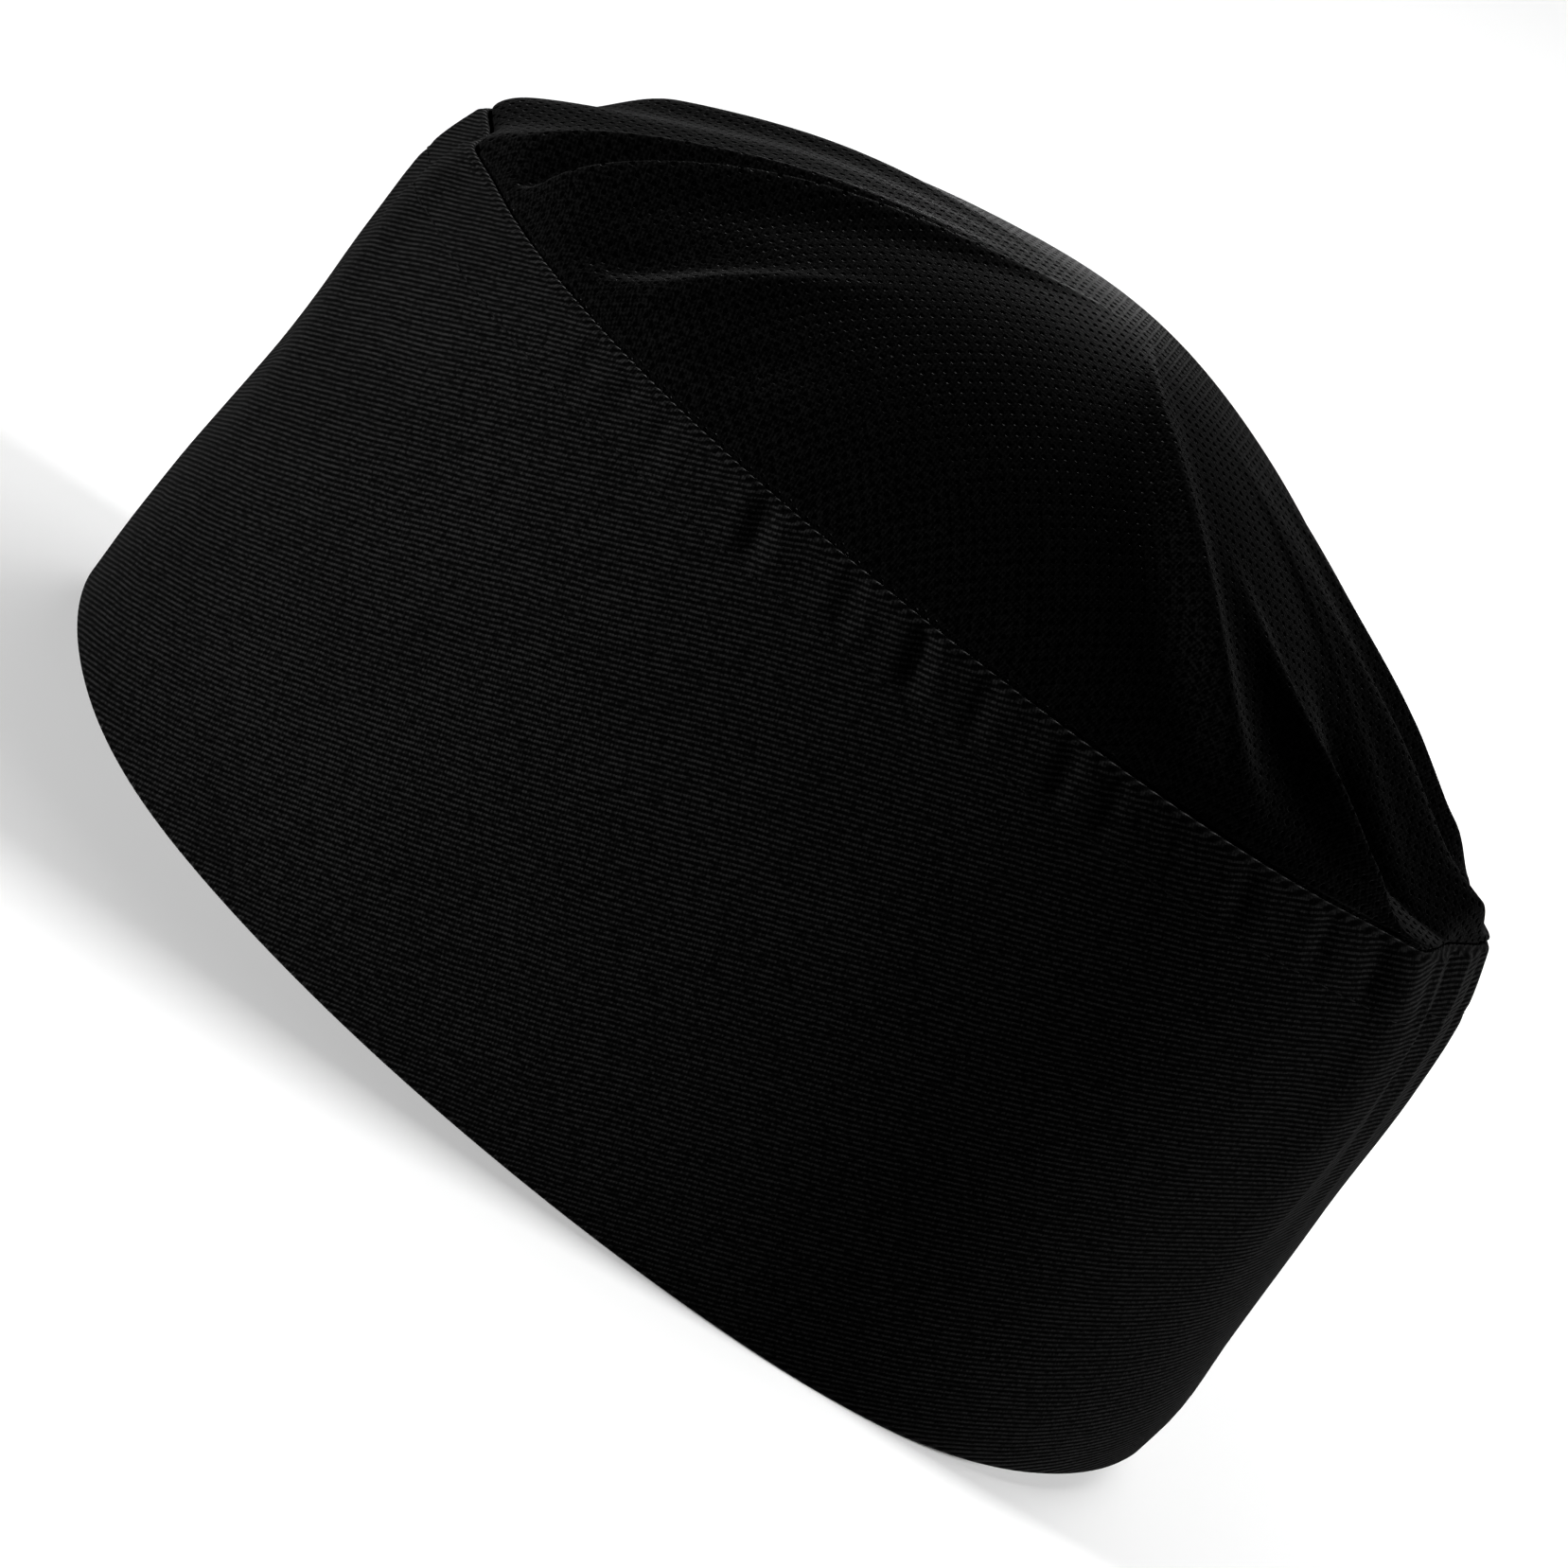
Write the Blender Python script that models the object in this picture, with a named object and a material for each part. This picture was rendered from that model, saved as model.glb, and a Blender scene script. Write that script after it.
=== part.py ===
"""A cook's skull cap: a tall twill band with a gathered crown of mesh cloth.

The cap stands on its rim on the plane z = 0, with its length along X and its near side towards -Y.
Both pieces are cloth walls, worked out on a grid that runs round the cap and up it.
"""

import math
from collections import namedtuple

import bpy
import numpy as np

# Driving dimensions, in metres.
HALF_LENGTH = 0.1097
HALF_WIDTH = 0.0740
BAND_HEIGHT = 0.1050
CROWN_RISE = 0.0405
BAND_WALL = 0.0018
CROWN_WALL = 0.0011
SEAM_CLEARANCE = 0.0003
SEAM_ALLOWANCE = 0.0125
SEAM_ROLL = 0.0010
RIM_LIFT = 0.0060
FLUTE_RISE = 0.0030
FLUTE_SPREAD = 0.0060
FOLD_RISE = 0.0060
FOLD_SPREAD = 0.0080

# A fold comes to its full rise over this share of the climb from the seam to the apex, and dies away over this
# share of its own reach.
FOLD_START = 0.16
FOLD_FADE = 0.60
# Folds draw together towards the apex, where this much of their width is left.
APEX_WIDTH = 0.15
# Over this share of the climb a fold turns from rising straight up to rising square to the cloth.
FOLD_TURN = 0.40
# A valley takes away no more than this share of the crown's height over the seam.
VALLEY_SHARE = 0.60

# The rim leaves the surface past this share of the way to either end, in a curve of this power.
LIFT_START = 0.55
LIFT_POWER = 3.0

# The grids: stations round the cap, how much closer together they lie at its two ends, rows up the
# crown, and the least share of BAND_HEIGHT between a section's row and the first row of the seam allowance.
STATIONS = 108
END_CROWDING = 0.50
CROWN_ROWS = 13
LEVEL_GAP = 0.03
# The turn in radians over which a curve's direction is taken.
ANGLE_STEP = 1e-4

# One row for each level of the band: its height as a share of BAND_HEIGHT, how far the left and right ends
# reach and where the widest place lies, as shares of HALF_LENGTH, the half width as a share of HALF_WIDTH,
# and how square the outline is (2 is an ellipse).
Section = namedtuple("Section", "height left right widest half_width squareness")
SECTIONS = (
    Section(0.00, 0.998, 0.994, -0.025, 0.996, 2.06),
    Section(0.08, 1.000, 1.000, -0.025, 1.000, 2.02),
    Section(0.25, 0.995, 0.984, -0.045, 0.984, 2.03),
    Section(0.50, 0.990, 0.966, -0.090, 0.950, 2.06),
    Section(0.75, 0.995, 0.943, -0.150, 0.902, 2.07),
    Section(0.92, 0.980, 0.908, -0.190, 0.860, 2.08),
    Section(1.00, 0.955, 0.878, -0.210, 0.838, 2.08),
)

# One row for each upright flute of the band: the end of the cap, how far round from that end's tip as a share
# of HALF_WIDTH (near side negative), the rise as a share of FLUTE_RISE, the spread as a share of FLUTE_SPREAD,
# the run down from the seam as a share of BAND_HEIGHT, and the sharpness (1 is a crease, 2 is round).
Flute = namedtuple("Flute", "end offset rise spread run sharpness")
FLUTES = (
    Flute("right", 0.02, 0.70, 0.80, 0.50, 2.0),
    Flute("right", -0.16, -0.35, 0.90, 0.60, 2.0),
    Flute("right", -0.32, 0.75, 0.85, 0.85, 2.0),
    Flute("right", 0.18, -0.30, 0.90, 0.50, 2.0),
    Flute("right", 0.34, 0.65, 0.90, 0.80, 2.0),
    Flute("left", 0.02, 0.60, 0.80, 0.50, 2.0),
    Flute("left", -0.13, -0.30, 0.80, 0.60, 2.0),
    Flute("left", -0.27, 0.65, 0.85, 0.75, 2.0),
    Flute("left", 0.16, -0.25, 0.80, 0.50, 2.0),
    Flute("left", 0.31, 0.55, 0.90, 0.70, 2.0),
)

# One row for each place along the crown: how far from the apex towards the left end (-1) or the right end (1),
# and its fullness there as a share of an elliptical dome.
Crest = namedtuple("Crest", "along fullness")
CREST = (
    Crest(-1.00, 0.36),
    Crest(-0.93, 0.45),
    Crest(-0.80, 0.60),
    Crest(-0.60, 0.80),
    Crest(-0.30, 0.945),
    Crest(0.00, 1.00),
    Crest(0.25, 0.90),
    Crest(0.50, 0.70),
    Crest(0.70, 0.48),
    Crest(0.85, 0.22),
    Crest(1.00, 0.08),
)
APEX_ALONG = -0.025

# One row for each fold of the crown: the end that it starts from, the angle of its foot and of its head from
# that end's tip in degrees (near side negative), the share of the climb from the seam to the apex that it
# reaches, its rise as a share of FOLD_RISE, its spread on its near and on its far side as shares of
# FOLD_SPREAD, and its sharpness (1 is a crease, 2 is round).
Fold = namedtuple("Fold", "end foot head reach rise near_spread far_spread sharpness")
FOLDS = (
    Fold("right", -4.0, -15.0, 0.90, 0.85, 1.20, 0.50, 2.0),
    Fold("right", 7.0, 6.0, 0.60, -0.40, 0.35, 0.45, 1.8),
    Fold("right", -19.0, -33.0, 0.62, -1.00, 0.90, 0.70, 2.0),
    Fold("right", -28.0, -54.0, 0.66, 0.85, 0.80, 0.60, 1.8),
    Fold("right", -49.0, -77.0, 1.00, 0.90, 0.75, 0.90, 1.8),
    Fold("right", 14.0, 15.0, 0.90, 0.65, 0.60, 1.30, 1.6),
    Fold("right", 15.0, 15.0, 0.30, -0.50, 1.40, 1.80, 2.0),
    Fold("right", 30.0, 30.0, 0.67, -0.50, 1.00, 1.00, 2.0),
    Fold("right", 38.0, 48.0, 0.63, 0.50, 0.50, 1.00, 1.4),
    Fold("right", 54.0, 66.0, 0.74, 0.50, 0.80, 1.20, 1.6),
    Fold("left", -25.0, -18.0, 0.85, 0.60, 0.45, 0.60, 1.8),
    Fold("left", -31.0, -27.0, 0.75, -0.50, 0.40, 0.35, 1.8),
    Fold("left", -36.0, -36.0, 0.98, 0.90, 0.80, 0.48, 1.8),
    Fold("left", -47.0, -55.0, 0.45, -0.75, 0.80, 0.60, 2.0),
    Fold("left", -56.0, -66.0, 0.62, 0.45, 0.70, 0.50, 1.8),
    Fold("left", -66.0, -77.0, 0.36, -0.50, 0.80, 0.60, 2.0),
    Fold("left", 3.0, 3.0, 0.80, 0.10, 1.20, 1.20, 2.0),
    Fold("left", 24.0, 22.0, 0.92, 0.35, 0.90, 1.20, 1.8),
    Fold("left", 25.0, 25.0, 0.36, -0.75, 1.60, 1.80, 2.0),
    Fold("left", 47.0, 52.0, 0.51, -0.60, 0.60, 0.80, 2.0),
    Fold("left", 57.0, 60.0, 0.59, 0.40, 0.50, 0.90, 1.5),
)
END_ANGLE = {"right": 0.0, "left": math.pi}

TWILL_COLOUR = (0.012, 0.012, 0.013, 1.0)
MESH_COLOUR = (0.009, 0.009, 0.010, 1.0)


def smooth_step(share):
    """Rises smoothly from 0 to 1 as share does."""
    held = np.clip(share, 0.0, 1.0)
    return held * held * (3.0 - 2.0 * held)


def signed_power(value, power):
    """Raises the size of a value to a power and keeps its sign."""
    return np.sign(value) * np.abs(value) ** power


def read_table(rows, key, column, place):
    """Reads one column of a table at a place along its key column, on a smooth curve through its rows."""
    keys = np.array([getattr(row, key) for row in rows])
    values = np.array([getattr(row, column) for row in rows])
    slopes = np.gradient(values, keys)
    row = np.clip(np.searchsorted(keys, place) - 1, 0, len(keys) - 2)
    span = keys[row + 1] - keys[row]
    share = np.clip((place - keys[row]) / span, 0.0, 1.0)
    rest = 1.0 - share
    return (
        values[row] * (1.0 + 2.0 * share) * rest**2
        + values[row + 1] * (3.0 - 2.0 * share) * share**2
        + span * share * rest * (slopes[row] * rest - slopes[row + 1] * share)
    )


def section_at(height, column):
    """Reads one column of SECTIONS at a height share."""
    return read_table(SECTIONS, "height", column, height)


def outline(angle, height):
    """The band's plan outline, without its flutes, at an angle round the cap and a height share."""
    power = 2.0 / section_at(height, "squareness")
    east = signed_power(np.cos(angle), power)
    reach = np.where(east > 0.0, section_at(height, "right"), section_at(height, "left"))
    widest = section_at(height, "widest")
    x = HALF_LENGTH * (widest + np.where(east > 0.0, reach - widest, reach + widest) * east)
    y = HALF_WIDTH * section_at(height, "half_width") * signed_power(np.sin(angle), power)
    return x, y


def from_end(angle, end):
    """The angle from one end's tip, from -pi to pi, with the near side negative at either end."""
    turn = (angle - END_ANGLE[end] + math.pi) % (2.0 * math.pi) - math.pi
    return turn if end == "right" else -turn


def lobe(distance, spread, sharpness):
    """A smooth bump that is 1 at no distance and fades out past its spread."""
    return np.exp(-((np.abs(distance) / spread) ** sharpness))


def flute_rise(angle, height):
    """How far the flutes push the band out at an angle and a height share."""
    total = np.zeros(np.broadcast(angle, height).shape)
    seam_half_width = HALF_WIDTH * SECTIONS[-1].half_width
    for row in FLUTES:
        turn = from_end(angle, row.end)
        away = seam_half_width * np.sin(turn) - HALF_WIDTH * row.offset
        away = np.where(np.abs(turn) < math.pi / 2.0, away, HALF_WIDTH)
        fade = smooth_step(1.0 - (1.0 - height) / row.run)
        total += FLUTE_RISE * row.rise * fade * lobe(away, FLUTE_SPREAD * row.spread, row.sharpness)
    return total


def rim_lift(angle, height):
    """How far the cloth is drawn up over the two ends of the rim, fading out up the band."""
    way = np.clip((np.abs(np.cos(angle)) - LIFT_START) / (1.0 - LIFT_START), 0.0, 1.0)
    return RIM_LIFT * way**LIFT_POWER * (1.0 - height) ** 2


def push_out(curve, angle, height, distance):
    """Points of a plan curve, moved square to it by a distance, outward where that is positive."""
    x, y = curve(angle, height)
    x_next, y_next = curve(angle + ANGLE_STEP, height)
    x_last, y_last = curve(angle - ANGLE_STEP, height)
    length = np.hypot(x_next - x_last, y_next - y_last)
    return x + distance * (y_next - y_last) / length, y - distance * (x_next - x_last) / length


def fluted_outline(angle, height):
    """The band's plan outline with its flutes, at an angle round the cap and a height share."""
    return push_out(outline, angle, height, flute_rise(angle, height))


def band_surface(angle, height, inward):
    """Points of the band at angles and height shares, moved inward by a distance."""
    x, y = push_out(fluted_outline, angle, height, -inward)
    z = BAND_HEIGHT * height + rim_lift(angle, height)
    return np.stack([x, y, z], axis=-1)


def stations():
    """The angles round the cap, closer together at its two ends."""
    turn = np.arange(STATIONS) * 2.0 * math.pi / STATIONS
    return turn - END_CROWDING * 0.5 * np.sin(2.0 * turn)


def seam_levels():
    """The height shares of the rows that the mesh's seam allowance lies along, up to the seam."""
    share = SEAM_ALLOWANCE / BAND_HEIGHT
    return [1.0 - share, 1.0 - share / 2.0, 1.0]


def band_grids():
    """The outer and inner faces of the band, each as rows from the rim up to the seam."""
    seam = seam_levels()
    below = [row.height for row in SECTIONS if row.height < seam[0] - LEVEL_GAP]
    levels = below + seam[:-1] + [1.0 - SEAM_ROLL / BAND_HEIGHT, seam[-1]]
    height, angle = np.meshgrid(levels, stations(), indexing="ij")
    rolled = SEAM_ROLL * (height == 1.0)
    return band_surface(angle, height, rolled), band_surface(angle, height, BAND_WALL)


def skirt_grid(inward):
    """The mesh's seam allowance inside the band, from its lower edge up to the seam."""
    height, angle = np.meshgrid(seam_levels(), stations(), indexing="ij")
    skirt = band_surface(angle, height, inward)
    skirt[-1, :, 2] += SEAM_CLEARANCE
    return skirt


def crown_plan(angle, climb):
    """Plan points of the crown at angles and climbs, 0 at the seam and 1 at the apex, and how far along."""
    way = np.cos(climb * math.pi / 2.0)
    ring = band_surface(angle, np.ones_like(angle), SEAM_ROLL)
    centre = np.array([HALF_LENGTH * APEX_ALONG, 0.0, BAND_HEIGHT])
    plan = centre + (ring - centre) * way[..., None]
    reach = np.where(
        np.cos(angle) > 0.0,
        HALF_LENGTH * (SECTIONS[-1].right - APEX_ALONG),
        HALF_LENGTH * (SECTIONS[-1].left + APEX_ALONG),
    )
    return plan, np.clip((plan[..., 0] - centre[0]) / reach, -1.0, 1.0)


def smooth_crown(angle, climb):
    """The crown's outer face without its folds, over the seam."""
    plan, along = crown_plan(angle, climb)
    dome = np.sin(climb * math.pi / 2.0) * read_table(CREST, "along", "fullness", along)
    plan[..., 2] += SEAM_ROLL + (CROWN_RISE - SEAM_ROLL) * dome
    return plan


def fold_rise(angle, climb, around):
    """How far the folds push the crown out. Around is the distance that a radian spans at the seam."""
    total = np.zeros_like(climb)
    shrink = np.sqrt(np.cos(climb * math.pi / 2.0) + APEX_WIDTH)
    for row in FOLDS:
        share = climb / row.reach
        track = np.radians(row.foot + (row.head - row.foot) * share)
        away = (from_end(angle, row.end) - track) * around * shrink
        spread = FOLD_SPREAD * np.where(away < 0.0, row.near_spread, row.far_spread)
        taper = smooth_step(climb / FOLD_START) * smooth_step((1.0 - share) / FOLD_FADE)
        total += FOLD_RISE * row.rise * taper * lobe(away, spread, row.sharpness)
    return total


def normals_of(grid):
    """Outward unit normals of a grid whose rows climb from the seam and whose columns run round."""
    up = np.gradient(grid, axis=0)
    around = np.roll(grid, -1, axis=1) - np.roll(grid, 1, axis=1)
    normal = np.cross(around, up)
    return normal / np.maximum(np.linalg.norm(normal, axis=-1, keepdims=True), 1e-12)


def crown_dome():
    """The crown's outer face over the seam, as rows that stop one short of the apex, and the apex."""
    climb, angle = np.meshgrid(np.arange(CROWN_ROWS) / CROWN_ROWS, stations(), indexing="ij")
    base = smooth_crown(angle, climb)
    ring = base[0]
    spacing = np.linalg.norm(np.roll(ring, -1, axis=0) - np.roll(ring, 1, axis=0), axis=-1)
    turn = (np.roll(stations(), -1) - np.roll(stations(), 1)) % (2.0 * math.pi)
    rise = fold_rise(angle, climb, (spacing / turn)[None])
    rise = np.maximum(rise, -VALLEY_SHARE * (base[..., 2] - ring[:, 2]))
    direction = normals_of(base)
    direction[..., :2] *= smooth_step(climb / FOLD_TURN)[..., None]
    dome = base + direction * rise[..., None]
    return dome, np.array([HALF_LENGTH * APEX_ALONG, 0.0, BAND_HEIGHT + CROWN_RISE])


def crown_grids():
    """The outer and inner faces of the crown, from the allowance's lower edge up, and their two apexes."""
    outer_skirt = skirt_grid(BAND_WALL + SEAM_CLEARANCE)
    inner_skirt = skirt_grid(BAND_WALL + SEAM_CLEARANCE + CROWN_WALL)
    dome, apex = crown_dome()
    inner_dome = dome - normals_of(dome) * CROWN_WALL
    inner_dome[0] = inner_skirt[-1]
    inner_dome[0, :, 2] = dome[0, :, 2]
    outer = np.concatenate([outer_skirt, dome])
    inner = np.concatenate([inner_skirt, inner_dome])
    return outer, inner, apex, apex - np.array([0.0, 0.0, CROWN_WALL])


def grid_faces(first, rows, flip):
    """Quads of a grid that closes round, its points numbered row by row from first."""
    faces = []
    for row in range(rows - 1):
        for column in range(STATIONS):
            after = (column + 1) % STATIONS
            a = first + row * STATIONS + column
            b = first + row * STATIONS + after
            quad = (a, b, b + STATIONS, a + STATIONS)
            faces.append(quad[::-1] if flip else quad)
    return faces


def joining_faces(outer_row, inner_row, flip):
    """Quads between one row of the outer face and one of the inner face."""
    faces = []
    for column in range(STATIONS):
        after = (column + 1) % STATIONS
        quad = (outer_row + column, outer_row + after, inner_row + after, inner_row + column)
        faces.append(quad[::-1] if flip else quad)
    return faces


def fan_faces(row, apex, flip):
    """Triangles from the last row of a grid to its apex."""
    faces = []
    for column in range(STATIONS):
        corner = (row + column, row + (column + 1) % STATIONS, apex)
        faces.append(corner[::-1] if flip else corner)
    return faces


def make_object(name, points, faces, material):
    """A named mesh object from points and faces, shaded smooth."""
    mesh = bpy.data.meshes.new(name)
    mesh.from_pydata([tuple(point) for point in points], [], faces)
    mesh.validate()
    mesh.shade_smooth()
    mesh.set_sharp_from_angle(angle=math.radians(50.0))
    mesh.materials.append(material)
    piece = bpy.data.objects.new(name, mesh)
    bpy.context.scene.collection.objects.link(piece)
    return piece


def cloth_material(name, colour, roughness):
    """A plain cloth material."""
    material = bpy.data.materials.new(name)
    material.use_nodes = True
    shader = material.node_tree.nodes["Principled BSDF"]
    shader.inputs["Base Color"].default_value = colour
    shader.inputs["Roughness"].default_value = roughness
    shader.inputs["Metallic"].default_value = 0.0
    return material


def make_band(shift):
    """The twill band: a closed wall between its outer and inner faces, flat at the rim and at the seam."""
    outer, inner = band_grids()
    rows = len(outer)
    points = np.concatenate([outer.reshape(-1, 3), inner.reshape(-1, 3)]) + shift
    inside = rows * STATIONS
    top = (rows - 1) * STATIONS
    faces = grid_faces(0, rows, False) + grid_faces(inside, rows, True)
    faces += joining_faces(0, inside, True)
    faces += joining_faces(top, inside + top, False)
    return make_object("band", points, faces, cloth_material("black_twill", TWILL_COLOUR, 0.85))


def make_crown(shift):
    """The mesh crown: a closed wall from its seam allowance inside the band up over the folds to the apex."""
    outer, inner, outer_apex, inner_apex = crown_grids()
    rows = len(outer)
    inside = rows * STATIONS
    apex = 2 * inside
    points = np.concatenate([outer.reshape(-1, 3), inner.reshape(-1, 3), [outer_apex, inner_apex]]) + shift
    last = (rows - 1) * STATIONS
    faces = grid_faces(0, rows, False) + grid_faces(inside, rows, True)
    faces += joining_faces(0, inside, True)
    faces += fan_faces(last, apex, False) + fan_faces(inside + last, apex + 1, True)
    return make_object("crown", points, faces, cloth_material("black_mesh", MESH_COLOUR, 0.75))


def centring_shift():
    """The move that puts the middle of the band's plan on the origin."""
    outer = band_grids()[0].reshape(-1, 3)
    middle = (outer.min(axis=0) + outer.max(axis=0)) / 2.0
    return np.array([-middle[0], -middle[1], 0.0])


def main():
    """Clears the scene and builds the cap."""
    for old in list(bpy.data.objects):
        bpy.data.objects.remove(old)
    shift = centring_shift()
    make_band(shift)
    make_crown(shift)


main()
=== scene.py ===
"""The looks of a cook's skull cap: a tall band of black twill under a gathered crown of black mesh cloth.

The cap stands on its rim on a pale floor, with its length along X and its near side towards -Y. Both cloths
are grids of points that run round the cap and up it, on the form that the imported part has.
"""

import logging
import math
from dataclasses import dataclass, field
from enum import Enum
from typing import Any, Callable, NamedTuple

import bpy
import numpy as np
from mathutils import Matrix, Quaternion, Vector


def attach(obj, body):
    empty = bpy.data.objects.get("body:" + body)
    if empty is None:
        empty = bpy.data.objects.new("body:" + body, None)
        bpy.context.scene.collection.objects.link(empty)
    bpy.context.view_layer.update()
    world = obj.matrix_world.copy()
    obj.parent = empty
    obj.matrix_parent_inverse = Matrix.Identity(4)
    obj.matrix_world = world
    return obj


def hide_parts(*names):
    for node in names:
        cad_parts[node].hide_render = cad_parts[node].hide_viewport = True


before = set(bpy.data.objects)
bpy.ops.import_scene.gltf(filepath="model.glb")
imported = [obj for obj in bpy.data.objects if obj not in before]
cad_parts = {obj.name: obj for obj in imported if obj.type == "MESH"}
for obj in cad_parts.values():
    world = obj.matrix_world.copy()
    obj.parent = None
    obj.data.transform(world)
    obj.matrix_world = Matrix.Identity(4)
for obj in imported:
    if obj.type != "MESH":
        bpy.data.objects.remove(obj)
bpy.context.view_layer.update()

LOG = logging.getLogger("skull_cap")
CLOTH_MAP = "cloth"
SEED = 7
ROUND = 2.0


class End(Enum):
    """An end of the cap, by the angle of its tip."""

    RIGHT = 0.0
    LEFT = math.pi


class Hold(Enum):
    """How a cloth is held, in the words that the frame knows."""

    STRETCHED = "stretched"
    GATHERED = "gathered"


class Section(NamedTuple):
    """One level of the band: its height as a share of the band's, how far its left and right ends reach and
    where it is widest as shares of the half length, its half width as a share of the cap's, and how square
    its outline is (2 is an ellipse)."""

    height: float
    left: float
    right: float
    widest: float
    half_width: float
    squareness: float


class Flute(NamedTuple):
    """One upright flute of the band: its end, how far round from the tip as a share of the half width (near
    side negative), its rise and spread as shares of the form's, how far down from the seam it runs as a share
    of the band, and its sharpness (1 is a crease, 2 is round)."""

    end: End
    offset: float
    rise: float
    spread: float
    run: float
    sharpness: float


class Crest(NamedTuple):
    """One place along the crown, from the left end (-1) to the right end (1), and its fullness there as a
    share of an elliptical dome."""

    along: float
    fullness: float


class Fold(NamedTuple):
    """One fold of the crown: its end, the angles of its foot and its head from that end's tip in degrees
    (near side negative), the share of the climb that it reaches, its rise as a share of the form's, its
    spread on its near and far side as shares of the form's, and its sharpness (1 is a crease, 2 is round)."""

    end: End
    foot: float
    head: float
    reach: float
    rise: float
    near_spread: float
    far_spread: float
    sharpness: float


class Pucker(NamedTuple):
    """One pucker between the seam and the topstitching: its place along the near side as a share of the half
    length, its depth and spread as shares of the band's, and how far its foot leans to the right as a share
    of its spread."""

    along: float
    depth: float
    spread: float
    lean: float


class Crease(NamedTuple):
    """One narrow upright ridge or crease of the band's tip: its end, how far round from the tip it starts at
    the seam as a share of the half width (near side negative), how far round it has moved at its foot, its
    rise and spread as shares of the band's, and how far down it runs as a share of the band."""

    end: End
    offset: float
    drift: float
    rise: float
    spread: float
    run: float


class Softbox(NamedTuple):
    """One soft lamp: where it stands, in metres, its side in metres and its power in watts."""

    name: str
    place: tuple[float, float, float]
    side: float
    power: float


SECTIONS = (
    Section(0.00, 0.998, 0.994, -0.025, 0.996, 2.06),
    Section(0.08, 1.000, 1.000, -0.025, 1.000, 2.02),
    Section(0.25, 0.995, 0.984, -0.045, 0.984, 2.03),
    Section(0.50, 0.990, 0.966, -0.090, 0.950, 2.06),
    Section(0.75, 0.995, 0.943, -0.150, 0.902, 2.07),
    Section(0.92, 0.980, 0.908, -0.190, 0.860, 2.08),
    Section(1.00, 0.955, 0.878, -0.210, 0.838, 2.08),
)
FLUTES = (
    Flute(End.RIGHT, 0.02, 0.70, 0.80, 0.50, 2.0),
    Flute(End.RIGHT, -0.16, -0.35, 0.90, 0.60, 2.0),
    Flute(End.RIGHT, -0.32, 0.75, 0.85, 0.85, 2.0),
    Flute(End.RIGHT, 0.18, -0.30, 0.90, 0.50, 2.0),
    Flute(End.RIGHT, 0.34, 0.65, 0.90, 0.80, 2.0),
    Flute(End.LEFT, 0.02, 0.60, 0.80, 0.50, 2.0),
    Flute(End.LEFT, -0.13, -0.30, 0.80, 0.60, 2.0),
    Flute(End.LEFT, -0.27, 0.65, 0.85, 0.75, 2.0),
    Flute(End.LEFT, 0.16, -0.25, 0.80, 0.50, 2.0),
    Flute(End.LEFT, 0.31, 0.55, 0.90, 0.70, 2.0),
)
CREST = (
    Crest(-1.00, 0.36),
    Crest(-0.93, 0.45),
    Crest(-0.80, 0.60),
    Crest(-0.60, 0.80),
    Crest(-0.30, 0.945),
    Crest(0.00, 1.00),
    Crest(0.25, 0.90),
    Crest(0.50, 0.70),
    Crest(0.70, 0.48),
    Crest(0.85, 0.22),
    Crest(1.00, 0.08),
)
FOLDS = (
    Fold(End.RIGHT, -4.0, -15.0, 0.90, 0.85, 1.20, 0.50, 2.0),
    Fold(End.RIGHT, 7.0, 6.0, 0.60, -0.40, 0.35, 0.45, 1.8),
    Fold(End.RIGHT, -19.0, -33.0, 0.62, -1.00, 0.90, 0.70, 2.0),
    Fold(End.RIGHT, -28.0, -54.0, 0.66, 0.85, 0.80, 0.60, 1.8),
    Fold(End.RIGHT, -49.0, -77.0, 1.00, 0.90, 0.75, 0.90, 1.8),
    Fold(End.RIGHT, 14.0, 15.0, 0.90, 0.65, 0.60, 1.30, 1.6),
    Fold(End.RIGHT, 15.0, 15.0, 0.30, -0.50, 1.40, 1.80, 2.0),
    Fold(End.RIGHT, 30.0, 30.0, 0.67, -0.50, 1.00, 1.00, 2.0),
    Fold(End.RIGHT, 38.0, 48.0, 0.63, 0.50, 0.50, 1.00, 1.4),
    Fold(End.RIGHT, 54.0, 66.0, 0.74, 0.50, 0.80, 1.20, 1.6),
    Fold(End.LEFT, -25.0, -18.0, 0.85, 0.60, 0.45, 0.60, 1.8),
    Fold(End.LEFT, -31.0, -27.0, 0.75, -0.50, 0.40, 0.35, 1.8),
    Fold(End.LEFT, -36.0, -36.0, 0.98, 0.90, 0.80, 0.48, 1.8),
    Fold(End.LEFT, -47.0, -55.0, 0.45, -0.75, 0.80, 0.60, 2.0),
    Fold(End.LEFT, -56.0, -66.0, 0.62, 0.45, 0.70, 0.50, 1.8),
    Fold(End.LEFT, -66.0, -77.0, 0.36, -0.50, 0.80, 0.60, 2.0),
    Fold(End.LEFT, 3.0, 3.0, 0.80, 0.10, 1.20, 1.20, 2.0),
    Fold(End.LEFT, 24.0, 22.0, 0.92, 0.35, 0.90, 1.20, 1.8),
    Fold(End.LEFT, 25.0, 25.0, 0.36, -0.75, 1.60, 1.80, 2.0),
    Fold(End.LEFT, 47.0, 52.0, 0.51, -0.60, 0.60, 0.80, 2.0),
    Fold(End.LEFT, 57.0, 60.0, 0.59, 0.40, 0.50, 0.90, 1.5),
)
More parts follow.
